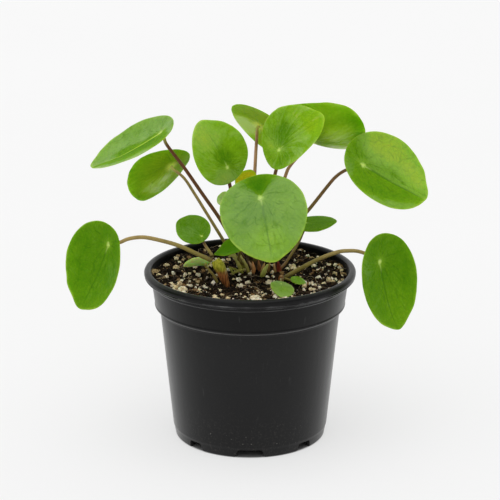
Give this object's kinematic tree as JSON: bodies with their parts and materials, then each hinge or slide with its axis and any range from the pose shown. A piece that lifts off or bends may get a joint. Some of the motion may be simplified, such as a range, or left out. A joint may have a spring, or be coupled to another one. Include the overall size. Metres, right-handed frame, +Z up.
{
  "type": "potted plant",
  "caption": "Young plant with round, coin-like leaves on long thin stalks, growing in a filled black plastic nursery pot.",
  "frame": {"origin": "Centre of the pot's foot ring on the surface the pot stands on.", "axes": "+X to the right as the picture sees it, +Y away from its camera, +Z up along the pot's axis."},
  "size_m": [0.1883, 0.1108, 0.1779],
  "materials": {
    "pot_plastic": "satin black moulded plastic",
    "potting_mix": "moist dark peat and bark with pale perlite grains",
    "stem_bark": "ringed brown stem skin",
    "stalk": "smooth olive to reddish brown leaf stalk",
    "leaf_green": "smooth fleshy leaf with a soft gloss"
  },
  "bodies": {
    "root": {"leaf_back_left": "leaf_green", "leaf_back_middle": "leaf_green", "leaf_back_right": "leaf_green", "leaf_crown_left": "leaf_green", "leaf_front": "leaf_green", "leaf_high_left": "leaf_green", "leaf_low_left": "leaf_green", "leaf_low_right": "leaf_green", "leaf_small_left": "leaf_green", "leaf_small_right": "leaf_green", "leaf_sprout_left": "leaf_green", "leaf_sprout_right": "leaf_green", "leaf_sprout_tiny": "leaf_green", "leaf_upper_left": "leaf_green", "leaf_upper_middle": "leaf_green", "leaf_upper_right": "leaf_green", "leaf_young_back": "leaf_green", "leaf_young_left": "leaf_green", "main_stem": "stem_bark", "offset_stem_left": "stem_bark", "offset_stem_right": "stem_bark", "petiole_back_left": "stalk", "petiole_back_middle": "stalk", "petiole_back_right": "stalk", "petiole_crown_left": "stalk", "petiole_front": "stalk", "petiole_high_left": "stalk", "petiole_low_left": "stalk", "petiole_low_right": "stalk", "petiole_small_left": "stalk", "petiole_small_right": "stalk", "petiole_sprout_left": "stalk", "petiole_sprout_right": "stalk", "petiole_sprout_tiny": "stalk", "petiole_upper_left": "stalk", "petiole_upper_middle": "stalk", "petiole_upper_right": "stalk", "petiole_young_back": "stalk", "petiole_young_left": "stalk", "pot": "pot_plastic", "soil": "potting_mix"}
  },
  "joints": []
}
